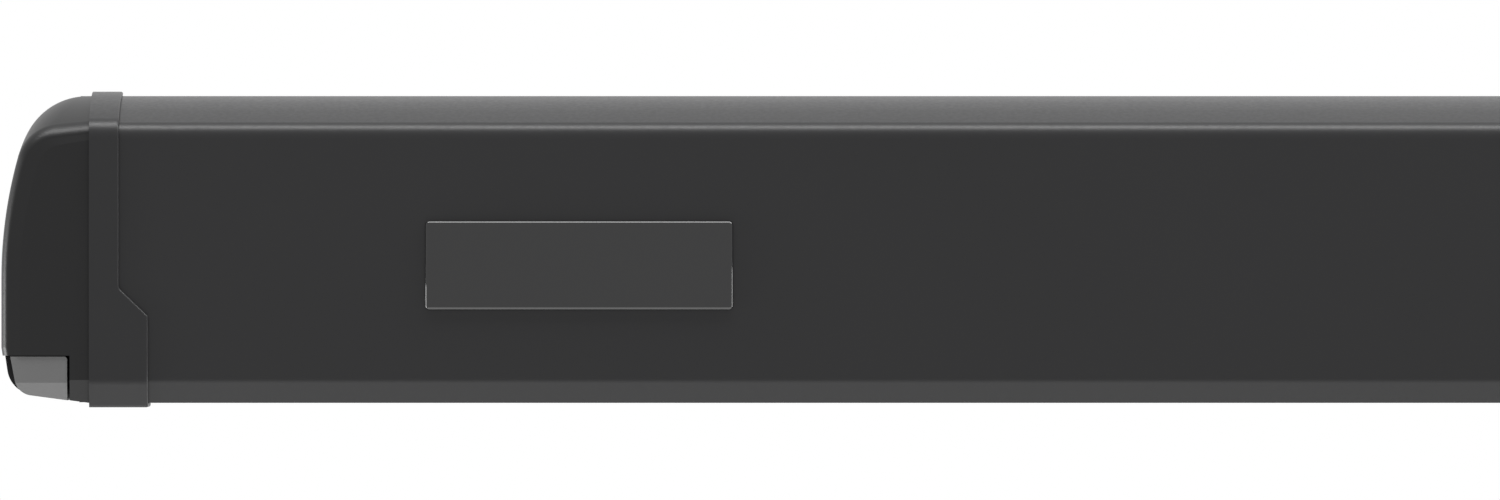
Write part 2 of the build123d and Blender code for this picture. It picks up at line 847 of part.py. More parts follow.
# Collar around the rail's end: a plate behind a skirt with a stepped and rounded inner edge
with BuildPart() as lead_collar_left:
    with BuildSketch(section.offset(rail_half - collar_long)) as collar_outline:
        rail_outline(collar_outline)
        offset(amount=collar_proud)
    extrude(amount=collar_long + collar_plate)
    with BuildSketch(section.offset(rail_half - collar_long - cut_over)):
        strip(0, hood_back, -half_height, half_height + 2 * collar_proud)
    extrude(amount=collar_long + collar_plate + 2 * cut_over, mode=Mode.SUBTRACT)
    with BuildSketch(Plane.XZ) as jog:
        short_edge = -rail_half + collar_short
        long_edge = -rail_half + collar_long
        with BuildLine():
            Polyline(
                (short_edge, half_height + cut_over),
                (short_edge, collar_jog_top),
                (long_edge, collar_jog_bottom),
                (long_edge + cut_over, collar_jog_bottom),
                (long_edge + cut_over, half_height + cut_over),
                close=True,
            )
        make_face()
        round_corner(jog, (short_edge, collar_jog_top), collar_jog_round)
    extrude(amount=case_depth + cut_over, mode=Mode.SUBTRACT)
    collar_rims = lead_collar_left.edges().filter_by(on_collar_rim)
    fillet(collar_rims, collar_round)
    with BuildSketch(section.offset(rail_half - collar_long - cut_over)) as collar_inside:
        rail_outline(collar_inside)
        offset(amount=seat_gap / 2)
        with Locations((keder_depth, keder_height)):
            Circle(keder_groove_radius + keder_groove_wall + seat_gap)
    extrude(amount=collar_long + cut_over, mode=Mode.SUBTRACT)

with BuildPart() as lead_collar_right:
    mirror(lead_collar_left.part, about=Plane.YZ)


def cap_outline(sketch, depth, side_inset=0.0, top_inset=0.0):
    """Draw the lead cap's outline as seen from the front, at one depth."""
    share = (depth - hood_back) / hood_length
    left = -half_length + front_side_inset * share + side_inset
    right = -rail_half - collar_plate
    top = hood_height(depth) - top_inset
    shoulder_in = side_shoulder_inset + (front_shoulder_inset - side_shoulder_inset) * share
    side_start = side_radius_start + (front_side_start - side_radius_start) * share
    corner = top_corner_radius + (front_corner_radius - top_corner_radius) * share
    shoulder = (left + shoulder_in, top - front_top_droop * share)
    foot = (left + foot_taper, -half_height + foot_corner_lift)
    taper = (left, foot_taper_start)
    with BuildLine() as outline_edges:
        TangentArc((left, side_start), shoulder, tangent=(0, 1))
        Polyline(shoulder, (right, top), (right, -half_height), foot, taper, (left, side_start))
    make_face(outline_edges.edges())
    round_corner(sketch, shoulder, corner - top_inset)
    round_corner(sketch, foot, foot_corner_radius - side_inset)


def chin_cut():
    """Cut the chin's slope along the bottom of the front."""
    with BuildSketch(section.offset(rail_half)) as profile:
        with BuildLine() as outline_edges:
            Polyline(
                (case_depth, chin_top),
                (case_depth - chin_depth, -half_height),
                (case_depth - chin_depth, -half_height - cut_over),
                (case_depth + cut_over, -half_height - cut_over),
                (case_depth + cut_over, chin_top),
                close=True,
            )
        make_face(outline_edges.edges())
    extrude(profile.sketch, amount=half_length - rail_half + cut_over, mode=Mode.SUBTRACT)


# Rounded cap of the lead rail, with the notch for the corner insert
cap_back = roof_front + seam_gap
cap_brow = case_depth - cap_face_rise

body_end = cap_brow - cap_edge_radius
brow_inset = cap_brow_share * cap_edge_radius
with BuildPart() as lead_cap_left:
    for depth in (cap_back, (cap_back + body_end) / 2, body_end):
        with BuildSketch(Plane.XZ.offset(depth)) as cap_section:
            cap_outline(cap_section, depth)
    loft()
    for step in range(brow_steps + 1):
        turned = step / brow_steps * pi / 2
        depth = body_end + cap_edge_radius * sin(turned)
        inset = brow_inset * (1 - cos(turned))
        with BuildSketch(Plane.XZ.offset(depth)) as cap_section:
            cap_outline(cap_section, depth, inset, inset)
    loft()
    with BuildSketch(Plane.XZ.offset(cap_brow)) as cap_section:
        cap_outline(cap_section, cap_brow, brow_inset, brow_inset)
    with BuildSketch(Plane.XZ.offset(case_depth)) as cap_section:
        side_inset = brow_inset + cap_face_side
        cap_outline(cap_section, cap_brow, side_inset, brow_inset + cap_face_top)
    loft()
    chin_cut()
    with BuildSketch(section.offset(rail_half)):
        with BuildLine():
            Polyline(
                (0, half_height),
                (cap_back, half_height),
                (floor_front + seam_gap, -half_height),
                (0, -half_height),
                close=True,
            )
        make_face()
    extrude(amount=half_length, mode=Mode.SUBTRACT)
    with BuildSketch(Plane.XZ):
        with Locations((-half_length, insert_notch_top)):
            Rectangle(insert_notch_width, half_height, align=(Align.MIN, Align.MAX))
    extrude(amount=case_depth + cut_over, mode=Mode.SUBTRACT)
    with BuildSketch(section.offset(rail_half + collar_plate)):
        pocket_low = insert_notch_top + cap_pocket_wall
        pocket_high = crease_height - cap_pocket_wall
        pocket_back = rail_back + rail_wall
        pocket_front = case_depth - cap_pocket_wall
        pocket_width = pocket_front - pocket_back
        pocket_round = cap_pocket_share * pocket_width
        with Locations(((pocket_back + pocket_front) / 2, (pocket_low + pocket_high) / 2)):
            RectangleRounded(pocket_width, pocket_high - pocket_low, pocket_round)
    extrude(amount=cover_width - 2 * cap_pocket_wall, mode=Mode.SUBTRACT)

with BuildPart() as lead_cap_right:
    mirror(lead_cap_left.part, about=Plane.YZ)

# Light corner insert that fills the cap's notch from the front
with BuildPart() as corner_insert_left:
    with BuildSketch(Plane.XZ.offset(insert_back)) as insert_front:
        left = -half_length + insert_left
        right = -half_length + insert_right
        top = insert_notch_top - seat_gap
        slope = foot_corner_lift / collar_left
        foot = (left + foot_taper, -half_height + foot_corner_lift - slope * insert_left)
        with BuildLine():
            Polyline(
                (left, top),
                (right, top),
                (right, -half_height + foot_corner_lift - slope * insert_right),
                foot,
                close=True,
            )
        make_face()
        round_corner(insert_front, foot, foot_corner_radius - insert_left)
        round_corner(insert_front, (right, top), insert_corner)
    extrude(amount=case_depth - insert_setback - insert_back)
    chin_cut()

with BuildPart() as corner_insert_right:
    mirror(corner_insert_left.part, about=Plane.YZ)

# Badge plate on the front face, left bare
with BuildPart() as badge_plate:
    with BuildSketch(Plane.XZ.offset(case_depth)):
        with Locations((-half_length + badge_from_end, badge_centre_height)):
            RectangleRounded(badge_width, badge_height, badge_corner)
    extrude(amount=badge_thickness)
    fillet(badge_plate.faces().sort_by(Axis.Y)[0].edges(), badge_edge)


def leg_section(start):
    """Plane square to the left leg at a distance from its pivot."""
    origin = (-leg_pivot_x + start, -leg_depth, leg_height)
    return Plane(origin=origin, x_dir=(0, 1, 0), z_dir=(1, 0, 0))


def leg_tube(start, end, radius):
    """One tube of the left leg."""
    with BuildSketch(leg_section(start)) as profile:
        Circle(radius)
        Circle(radius - leg_wall, mode=Mode.SUBTRACT)
    extrude(profile.sketch, amount=end - start)


def leg_clamp(tube_end_at, tube_radius, next_radius):
    """Clamp ring on a tube's end that closes on the next tube."""
    with BuildSketch(leg_section(tube_end_at - clamp_overlap)) as profile:
        Circle(tube_radius + clamp_wall)
        Circle(tube_radius, mode=Mode.SUBTRACT)
    extrude(profile.sketch, amount=clamp_overlap)
    with BuildSketch(leg_section(tube_end_at)) as profile:
        Circle(tube_radius + clamp_wall)
        Circle(next_radius + slide_gap, mode=Mode.SUBTRACT)
    extrude(profile.sketch, amount=clamp_length - clamp_overlap)


# Legs: hinge bracket in the channel, knuckle, three tubes, two clamps and a foot
middle_radius = leg_radius - leg_wall - slide_gap
inner_radius = middle_radius - leg_wall - slide_gap
middle_leg_end = outer_leg_end + clamp_length - clamp_overlap + clamp_lip + clamp_overlap
inner_leg_end = middle_leg_end + clamp_length - clamp_overlap + clamp_lip
bracket_half = leg_depth - rail_inner_back
knuckle_half = bracket_half - leg_bracket_wall - slide_gap

with BuildPart() as leg_brackets:
    with BuildSketch(section.offset(leg_pivot_x)):
        cheek_low = leg_height - knuckle_radius
        back_cheek = rail_inner_back + leg_bracket_wall
        front_cheek = leg_depth + bracket_half
        strip(rail_inner_back, back_cheek, cheek_low, channel_roof)
        strip(front_cheek - leg_bracket_wall, front_cheek, cheek_low, channel_roof)
        strip(rail_inner_back, front_cheek, channel_roof - leg_bracket_wall, channel_roof)
    extrude(amount=leg_bracket_length / 2, both=True)
    with BuildSketch(Plane.XZ.offset(leg_depth)):
        with Locations((-leg_pivot_x, leg_height)):
            Circle(leg_pin_radius + running_fit)
    extrude(amount=2 * bracket_half, both=True, mode=Mode.SUBTRACT)
    mirror(about=Plane.YZ)

with BuildPart() as leg_pins:
    with BuildSketch(Plane.XZ.offset(leg_depth)):
        with Locations((-leg_pivot_x, leg_height), (leg_pivot_x, leg_height)):
            Circle(leg_pin_radius)
    extrude(amount=bracket_half, both=True)

with BuildPart() as leg_knuckle_left:
    with BuildSketch(Plane.XZ.offset(leg_depth)) as knuckle_side:
        with Locations((-leg_pivot_x, leg_height)):
            Circle(knuckle_radius)
        with Locations((-leg_pivot_x + outer_leg_start - clamp_lip, leg_height)):
            Rectangle(2 * clamp_lip, 2 * knuckle_radius)
        make_hull(knuckle_side.edges())
    extrude(amount=knuckle_half, both=True)
    with BuildSketch(leg_section(outer_leg_start)):
        Circle(leg_radius - leg_wall - spigot_gap)
    extrude(amount=knuckle_spigot)
    with BuildSketch(Plane.XZ.offset(leg_depth)):
        with Locations((-leg_pivot_x, leg_height)):
            Circle(leg_pin_radius + running_fit)
    extrude(amount=knuckle_half, both=True, mode=Mode.SUBTRACT)

with BuildPart() as outer_leg_left:
    leg_tube(outer_leg_start, outer_leg_end, leg_radius)

with BuildPart() as outer_clamp_left:
    leg_clamp(outer_leg_end, leg_radius, middle_radius)

with BuildPart() as middle_leg_left:
    leg_tube(middle_leg_start, middle_leg_end, middle_radius)

with BuildPart() as middle_clamp_left:
    leg_clamp(middle_leg_end, middle_radius, inner_radius)

with BuildPart() as inner_leg_left:
    leg_tube(inner_leg_start, inner_leg_end, inner_radius)

with BuildPart() as leg_foot_left:
    with BuildSketch(leg_section(inner_leg_end)):
        Circle(foot_radius)
    extrude(amount=foot_length)
    fillet(leg_foot_left.edges().filter_by(GeomType.CIRCLE), foot_round)
    with BuildSketch(leg_section(inner_leg_end)):
        Circle(inner_radius - leg_wall - spigot_gap)
    extrude(amount=-foot_spigot)

with BuildPart() as leg_knuckle_right:
    mirror(leg_knuckle_left.part, about=Plane.YZ)

with BuildPart() as outer_leg_right:
    mirror(outer_leg_left.part, about=Plane.YZ)

with BuildPart() as outer_clamp_right:
    mirror(outer_clamp_left.part, about=Plane.YZ)

with BuildPart() as middle_leg_right:
    mirror(middle_leg_left.part, about=Plane.YZ)

with BuildPart() as middle_clamp_right:
    mirror(middle_clamp_left.part, about=Plane.YZ)

with BuildPart() as inner_leg_right:
    mirror(inner_leg_left.part, about=Plane.YZ)

with BuildPart() as leg_foot_right:
    mirror(leg_foot_left.part, about=Plane.YZ)

# Every piece is written to its own file under its own name
pieces = {
    "cassette_housing": cassette_housing,
    "wall_bracket_left": wall_bracket_left,
    "wall_bracket_right": wall_bracket_right,
    "end_plate_left": end_plate_left,
    "end_plate_right": end_plate_right,
    "end_cover_left": end_cover_left,
    "end_cover_right": end_cover_right,
    "gearbox": gearbox,
    "crank_shaft": crank_shaft,
    "roller_bushes": roller_bushes,
    "roller_tube": roller_tube,
    "roller_plugs": roller_plugs,
    "fabric_roll": fabric_roll,
    "fabric_lead": fabric_lead,
    "fabric_keder": fabric_keder,
    "hood_seal": hood_seal,
    "shoulder_bracket_left": shoulder_bracket_left,
    "shoulder_bracket_right": shoulder_bracket_right,
    "case_fasteners": case_fasteners,
    "shoulder_pins": shoulder_pins,
    "shoulder_end_left": shoulder_end_left,
    "shoulder_end_right": shoulder_end_right,
    "upper_tube_left": upper_tube_left,
    "upper_tube_right": upper_tube_right,
    "elbow_fork_left": elbow_fork_left,
    "elbow_fork_right": elbow_fork_right,
    "elbow_pin_left": elbow_pin_left,
    "elbow_pin_right": elbow_pin_right,
    "elbow_end_left": elbow_end_left,
    "elbow_end_right": elbow_end_right,
    "forearm_tube_left": forearm_tube_left,
    "forearm_tube_right": forearm_tube_right,
    "front_end_left": front_end_left,
    "front_end_right": front_end_right,
    "lead_brackets": lead_brackets,
    "lead_pins": lead_pins,
    "lead_rail": lead_rail,
    "lead_collar_left": lead_collar_left,
    "lead_collar_right": lead_collar_right,
    "lead_cap_left": lead_cap_left,
    "lead_cap_right": lead_cap_right,
    "corner_insert_left": corner_insert_left,
    "corner_insert_right": corner_insert_right,
    "badge_plate": badge_plate,
    "leg_pins": leg_pins,
    "leg_brackets": leg_brackets,
    "leg_knuckle_left": leg_knuckle_left,
    "leg_knuckle_right": leg_knuckle_right,
    "outer_leg_left": outer_leg_left,
    "outer_leg_right": outer_leg_right,
    "outer_clamp_left": outer_clamp_left,
    "outer_clamp_right": outer_clamp_right,
    "middle_leg_left": middle_leg_left,
    "middle_leg_right": middle_leg_right,
    "middle_clamp_left": middle_clamp_left,
    "middle_clamp_right": middle_clamp_right,
    "inner_leg_left": inner_leg_left,
    "inner_leg_right": inner_leg_right,
    "leg_foot_left": leg_foot_left,
    "leg_foot_right": leg_foot_right,
}
os.makedirs("parts", exist_ok=True)
for name, piece in pieces.items():
    piece.part.label = name
    export_step(piece.part, f"parts/{name}.step")
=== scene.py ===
"""Roll-out cassette awning, closed: studio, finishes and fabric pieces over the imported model."""

import json
import logging
import math
from abc import ABC, abstractmethod
from dataclasses import dataclass, field
from enum import Enum

import bmesh
import bpy
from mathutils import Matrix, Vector

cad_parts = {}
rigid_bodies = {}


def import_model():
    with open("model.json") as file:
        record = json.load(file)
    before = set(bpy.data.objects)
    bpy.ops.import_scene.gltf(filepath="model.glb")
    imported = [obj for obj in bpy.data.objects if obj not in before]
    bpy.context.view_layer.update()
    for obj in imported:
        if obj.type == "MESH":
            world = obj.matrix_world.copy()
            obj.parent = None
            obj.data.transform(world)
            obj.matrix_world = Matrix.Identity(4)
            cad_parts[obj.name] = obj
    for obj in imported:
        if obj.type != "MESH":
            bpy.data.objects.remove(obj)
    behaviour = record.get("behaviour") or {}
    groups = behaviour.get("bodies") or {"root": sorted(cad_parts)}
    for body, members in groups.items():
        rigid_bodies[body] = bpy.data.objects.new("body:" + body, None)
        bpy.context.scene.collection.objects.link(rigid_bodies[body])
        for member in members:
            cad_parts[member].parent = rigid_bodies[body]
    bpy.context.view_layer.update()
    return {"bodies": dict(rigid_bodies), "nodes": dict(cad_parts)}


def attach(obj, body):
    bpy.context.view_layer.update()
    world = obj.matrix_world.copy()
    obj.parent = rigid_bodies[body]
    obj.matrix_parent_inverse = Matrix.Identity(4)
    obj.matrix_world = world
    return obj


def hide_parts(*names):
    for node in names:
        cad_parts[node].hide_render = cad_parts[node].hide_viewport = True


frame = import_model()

MILLIMETRE = 0.001
# Most of a noise texture lies between these two values.
NOISE_LOW, NOISE_HIGH = 0.3, 0.7
# A wave texture of scale 1 goes through this many radians in a metre.
WAVE_RADIANS = 20.0

logging.basicConfig(level=logging.INFO, format="%(message)s")
log = logging.getLogger("awning")

Point = tuple[float, float]
Place = tuple[float, float, float]


class Side(Enum):
    """The awning's two ends, as someone who faces it sees them, with their sign along it."""

    LEFT = -1
    RIGHT = 1


class Lay(Enum):
    """The way that a surface's drawing, rolling or die lines run.

    Each has a pattern's scale along the case, in depth and in height. A small scale draws the
    pattern out into lines.
    """

    ALONG_CASE = (0.02, 1.0, 1.0)
    NONE = (1.0, 1.0, 1.0)


def linear(colour: str) -> tuple[float, float, float, float]:
    """Turn an sRGB hex colour into linear light, by the sRGB standard's curve.

    Args:
        colour: six hex digits after a hash.

    Returns:
        Red, green, blue and an alpha of one.
    """
    channels = (int(colour[i : i + 2], 16) / 255 for i in (1, 3, 5))
    red, green, blue = (
        c / 12.92 if c <= 0.04045 else ((c + 0.055) / 1.055) ** 2.4 for c in channels
    )
    return red, green, blue, 1.0


def per_metre(millimetres: float) -> float:
    """Return the texture scale at which a feature is this many millimetres wide."""
    return 1.0 / (millimetres * MILLIMETRE)


def around(centre: Point, radius: float, angle: float) -> Point:
    """Return the point at this distance from a centre, in this direction in radians."""
    return centre[0] + radius * math.cos(angle), centre[1] + radius * math.sin(angle)


def add_node(
    tree: bpy.types.NodeTree, kind: str, inputs: dict | None = None, **settings: object
) -> bpy.types.Node:
    """Add one node with its settings, values and links.

    Args:
        tree: the node tree that gets the node.
        kind: Blender's name for the node type.
        inputs: a value, or a socket to link, for each input name or number.
        settings: the node's own properties.

    Returns:
        The new node.
    """
    node = tree.nodes.new(kind)
    for name, value in settings.items():
        setattr(node, name, value)
    for name, value in (inputs or {}).items():
        if isinstance(value, bpy.types.NodeSocket):
            tree.links.new(value, node.inputs[name])
        else:
            node.inputs[name].default_value = value
    return node


@dataclass(frozen=True)
class Relief:
    """How a pattern stands out: the bump's strength, and its depth in millimetres."""

    strength: float
    depth: float


@dataclass(frozen=True)
class Surface:
    """A material's nodes as a finish finds them: tree, shader and object coordinates."""

    tree: bpy.types.NodeTree
    shader: bpy.types.Node
    place: bpy.types.NodeSocket

    def lay_pattern(
        self,
        drift: bpy.types.NodeSocket,
        shades: tuple[str, str],
        height: bpy.types.NodeSocket,
        relief: Relief,
    ) -> None:
        """Let the base colour drift between two near shades, and raise a pattern.

        Args:
            drift: how far the colour goes from the first shade to the second.
            shades: the two shades, as sRGB hex.
            height: the pattern's height, from 0 to 1.
            relief: how the pattern stands out.
        """
        # The mix node's colour sockets share their names with others, so they go by number.
        mix = add_node(
            self.tree,
            "ShaderNodeMix",
            {0: drift, 6: linear(shades[0]), 7: linear(shades[1])},
            data_type="RGBA",
        )
        self.tree.links.new(mix.outputs[2], self.shader.inputs["Base Color"])
        bump = add_node(
            self.tree,
            "ShaderNodeBump",
            {
                "Height": height,
                "Strength": relief.strength,
                "Distance": relief.depth * MILLIMETRE,
            },
        )
        self.tree.links.new(bump.outputs["Normal"], self.shader.inputs["Normal"])


@dataclass(frozen=True)
class Finish(ABC):
    """What every finish has: its name, colour and roughness. Pattern sizes are in millimetres."""

    name: str
    colour: str
    roughness: float

    def material(self) -> bpy.types.Material:
        """Make the finish's material on first use.

        Returns:
            The material.
        """
        known = bpy.data.materials.get(self.name)
        if known is not None:
            return known
        made = bpy.data.materials.new(self.name)
        made.use_nodes = True
        tree = made.node_tree
        shader = tree.nodes["Principled BSDF"]
        shader.inputs["Base Color"].default_value = linear(self.colour)
        shader.inputs["Roughness"].default_value = self.roughness
        place = add_node(tree, "ShaderNodeTexCoord").outputs["Object"]
        self.dress(Surface(tree, shader, place))
        return made

    @abstractmethod
    def dress(self, surface: Surface) -> None:
        """Add what the surface shows, which each finish does in its own way.

        Args:
            surface: the material's nodes.
        """


@dataclass(frozen=True)
class SatinPowderCoat(Finish):
    """Extruded aluminium, etched and powder coated in satin anthracite.

    The baked powder leaves a faint orange peel, so highlights have soft, slightly uneven edges.
    """

    light: str = "#202021"
    specular: float = 0.28
    peel: float = 1.4
    drift: float = 60.0
    gloss_swing: float = 0.03
    relief: Relief = Relief(0.25, 0.03)

    def dress(self, surface: Surface) -> None:
        """Add the orange peel and a slow drift of shade.

        Args:
            surface: the material's nodes.
        """
        tree, place = surface.tree, surface.place
        surface.shader.inputs["Specular IOR Level"].default_value = self.specular
        peel = add_node(
            tree,
            "ShaderNodeTexNoise",
            {"Vector": place, "Scale": per_metre(self.peel), "Detail": 2.0},
        ).outputs["Fac"]
        drift = add_node(
            tree,
            "ShaderNodeTexNoise",
            {"Vector": place, "Scale": per_metre(self.drift), "Detail": 3.0},
        ).outputs["Fac"]
        gloss = add_node(
            tree,
            "ShaderNodeMapRange",
            {
                "Value": peel,
                "From Min": NOISE_LOW,
                "From Max": NOISE_HIGH,
                "To Min": self.roughness - self.gloss_swing,
                "To Max": self.roughness + self.gloss_swing,
            },
        ).outputs["Result"]
        tree.links.new(gloss, surface.shader.inputs["Roughness"])
        surface.lay_pattern(drift, (self.colour, self.light), peel, self.relief)


@dataclass(frozen=True)
class GrainedMoulding(Finish):
    """Plastic, injection moulded in a spark-eroded tool.

    The tool's grain scatters the light, so the surface looks even and soft with no sharp glints.
    """

    light: str = "#0a0a0b"
    specular: float = 0.3
    grain: float = 0.5
    flow: float = 18.0
    relief: Relief = Relief(0.35, 0.04)

    def dress(self, surface: Surface) -> None:
        """Add the tool's grain, and a drift of shade from the flow of the melt.

        Args:
            surface: the material's nodes.
        """
        tree, place = surface.tree, surface.place
        surface.shader.inputs["Specular IOR Level"].default_value = self.specular
        grain = add_node(
            tree,
            "ShaderNodeTexVoronoi",
            {"Vector": place, "Scale": per_metre(self.grain)},
            feature="SMOOTH_F1",
        ).outputs["Distance"]
        flow = add_node(
            tree,
            "ShaderNodeTexNoise",
            {"Vector": place, "Scale": per_metre(self.flow), "Detail": 3.0},
        ).outputs["Fac"]
        surface.lay_pattern(flow, (self.colour, self.light), grain, self.relief)


@dataclass(frozen=True)
class GlossMoulding(Finish):
    """Clear resin, poured as a low dome over a black foil.

    The resin's skin is smooth, so it mirrors the room over a deep black, and its rolled edge
    catches thin bright lines.
    """

    light: str = "#0b0b0c"
    specular: float = 0.02
    coat: float = 1.0
    coat_roughness: float = 0.03
    coat_ior: float = 1.56
    wave: float = 14.0
    haze: float = 3.0
    relief: Relief = Relief(0.15, 0.05)

    def dress(self, surface: Surface) -> None:
        """Add the clear skin with its slight waviness, and a faint haze in the foil.

        Args:
            surface: the material's nodes.
        """
        tree, place, inputs = surface.tree, surface.place, surface.shader.inputs
        inputs["Specular IOR Level"].default_value = self.specular
        inputs["Coat Weight"].default_value = self.coat
        inputs["Coat Roughness"].default_value = self.coat_roughness
        inputs["Coat IOR"].default_value = self.coat_ior
        wave = add_node(
            tree,
            "ShaderNodeTexNoise",
            {"Vector": place, "Scale": per_metre(self.wave), "Detail": 1.0},
        ).outputs["Fac"]
        haze = add_node(
            tree,
            "ShaderNodeTexNoise",
            {"Vector": place, "Scale": per_metre(self.haze), "Detail": 5.0},
        ).outputs["Fac"]
        surface.lay_pattern(haze, (self.colour, self.light), wave, self.relief)


@dataclass(frozen=True)
class BareMetal(Finish):
    """Metal with no paint: anodised or mill tube, die-cast alloy or zinc-plated steel.

    Drawn tube shows fine lines along its length, cast alloy a soft pebbled skin, and plating a
    slow drift between two shades.
    """

    shade: str = "#a0a2a5"
    lay: Lay = Lay.NONE
    skin: float = 1.6
    drift: float = 25.0
    glossier: float = 0.06
    duller: float = 0.08
    relief: Relief = Relief(0.3, 0.03)

    def dress(self, surface: Surface) -> None:
        """Add the lines or skin, and the drift of shade.

        Args:
            surface: the material's nodes.
        """
        tree, place = surface.tree, surface.place
        surface.shader.inputs["Metallic"].default_value = 1.0
        stretched = add_node(
            tree, "ShaderNodeMapping", {"Vector": place, "Scale": Vector(self.lay.value)}
        ).outputs["Vector"]
        skin = add_node(
            tree,
            "ShaderNodeTexNoise",
            {"Vector": stretched, "Scale": per_metre(self.skin), "Detail": 4.0},
        ).outputs["Fac"]
        drift = add_node(
            tree,
            "ShaderNodeTexNoise",
            {"Vector": place, "Scale": per_metre(self.drift), "Detail": 2.0},
        ).outputs["Fac"]
        gloss = add_node(
            tree,
            "ShaderNodeMapRange",
            {
                "Value": skin,
                "From Min": NOISE_LOW,
                "From Max": NOISE_HIGH,
                "To Min": self.roughness - self.glossier,
                "To Max": self.roughness + self.duller,
            },
        ).outputs["Result"]
        tree.links.new(gloss, surface.shader.inputs["Roughness"])
        surface.lay_pattern(drift, (self.shade, self.colour), skin, self.relief)


@dataclass(frozen=True)
class CoatedCanvas(Finish):
    """Polyester cloth, plain woven, then coated with soft PVC.

    The coating rounds the weave over, so it shows as low pillows with a weak sheen. The threads
    are 0.6 mm apart. They are drawn 7.54 mm apart, because finer ones blur away where the whole
    cloth is in view.
    """

    shade: str = "#575b60"
    thread: float = 7.54
    slub: float = 9.0
    sheen: float = 0.1
    sheen_roughness: float = 0.4
    relief: Relief = Relief(0.4, 0.1)

    def dress(self, surface: Surface) -> None:
        """Add warp, weft, slubs and sheen.

        Args:
            surface: the material's nodes.
        """
        tree, place = surface.tree, surface.place
        surface.shader.inputs["Sheen Weight"].default_value = self.sheen
        surface.shader.inputs["Sheen Roughness"].default_value = self.sheen_roughness
        scale = per_metre(self.thread) * math.tau / WAVE_RADIANS
        warp, weft = (
            add_node(
                tree,
                "ShaderNodeTexWave",
                {"Vector": place, "Scale": scale, "Distortion": 0.4},
                bands_direction=direction,
            ).outputs["Fac"]
            for direction in ("X", "Y")
        )
        weave = add_node(
            tree, "ShaderNodeMath", {0: warp, 1: weft}, operation="MULTIPLY"
        ).outputs["Value"]
        slubs = add_node(
            tree,
            "ShaderNodeTexNoise",
            {"Vector": place, "Scale": per_metre(self.slub), "Detail": 4.0},
        ).outputs["Fac"]
        blotch = add_node(
            tree, "ShaderNodeMath", {0: weave, 1: slubs}, operation="MULTIPLY"
        ).outputs["Value"]
        surface.lay_pattern(blotch, (self.shade, self.colour), weave, self.relief)


@dataclass(frozen=True)
class ExtrudedRubber(Finish):
    """EPDM rubber, extruded and cured.

    It is matt and nearly black, with faint lines along its length and a pale bloom.
    """

    light: str = "#1f1f20"
    lay: Lay = Lay.ALONG_CASE
    lines: float = 0.7
    bloom: float = 12.0
    relief: Relief = Relief(0.4, 0.05)

    def dress(self, surface: Surface) -> None:
        """Add the die lines and the bloom.

        Args:
            surface: the material's nodes.
        """
        tree, place = surface.tree, surface.place
        stretched = add_node(
            tree, "ShaderNodeMapping", {"Vector": place, "Scale": Vector(self.lay.value)}
        ).outputs["Vector"]
        lines = add_node(
            tree,
            "ShaderNodeTexNoise",
            {"Vector": stretched, "Scale": per_metre(self.lines), "Detail": 2.0},
        ).outputs["Fac"]
        bloom = add_node(
            tree,
            "ShaderNodeTexNoise",
            {"Vector": place, "Scale": per_metre(self.bloom), "Detail": 4.0},
        ).outputs["Fac"]
        surface.lay_pattern(bloom, (self.colour, self.light), lines, self.relief)


@dataclass(frozen=True)
class RolledFloorPaint(Finish):
    """Floor paint, rolled on and matt.

    It shows nothing but soft shadows, and it thins out between two distances from the middle,
    in metres, so that the floor has no edge.
    """

    fade_start: float = 1.2
    fade_end: float = 2.91

    def dress(self, surface: Surface) -> None:
        """Add the soft edge.

        Args:
            surface: the material's nodes.
        """
        tree = surface.tree
        reach = add_node(tree, "ShaderNodeVectorMath", {0: surface.place}, operation="LENGTH")
        fade = add_node(
            tree,
            "ShaderNodeMapRange",
            {
                "Value": reach.outputs["Value"],
                "From Min": self.fade_start,
                "From Max": self.fade_end,
                "To Min": 1.0,
                "To Max": 0.0,
            },
            interpolation_type="SMOOTHSTEP",
        )
        tree.links.new(fade.outputs["Result"], surface.shader.inputs["Alpha"])


POWDER_COAT = SatinPowderCoat("Anthracite powder coat", "#1d1d1e", 0.39)
CAP_PLASTIC = GrainedMoulding("Grained ASA moulding", "#060607", 0.42)
INSERT_PLASTIC = GrainedMoulding(
    "Light grey ASA moulding", "#656565", 0.42, light="#6d6d6d", grain=0.4
)
NYLON = GrainedMoulding("Black glass-filled nylon", "#161617", 0.48, light="#1d1d1e", grain=0.8)
BADGE_GLOSS = GlossMoulding("Clear resin dome over black foil", "#08080a", 0.08)
ANODISED = BareMetal(
    "Anodised drawn aluminium", "#8e9093", 0.36, shade="#808285", lay=Lay.ALONG_CASE, skin=0.6
)
MILL_TUBE = BareMetal("Mill-finish aluminium", "#a9abae", 0.4, lay=Lay.ALONG_CASE, skin=1.0)
CAST_ALLOY = BareMetal("Die-cast alloy, tumbled", "#96999d", 0.46, relief=Relief(0.3, 0.08))
ZINC = BareMetal("Zinc-plated steel", "#b9bdc2", 0.3, shade="#a8a89c", relief=Relief(0.3, 0.02))
CANVAS = CoatedCanvas("Coated polyester canvas", "#686c71", 0.6)
RUBBER = ExtrudedRubber("Extruded EPDM rubber", "#141415", 0.62)
FLOOR_PAINT = RolledFloorPaint("Matt pale floor paint", "#d2d2d0", 0.8)

BOTH_ENDS = (Side.LEFT, Side.RIGHT)


def link_object(name: str, mesh: bpy.types.Mesh, finish: Finish) -> bpy.types.Object:
    """Put a mesh into the scene as an object of one finish.

    Args:
        name: the piece's name.
        mesh: its mesh, in metres.
        finish: what it is made of.

    Returns:
        The new object.
    """
    mesh.materials.append(finish.material())
    made = bpy.data.objects.new(name, mesh)
    bpy.context.collection.objects.link(made)
    return made


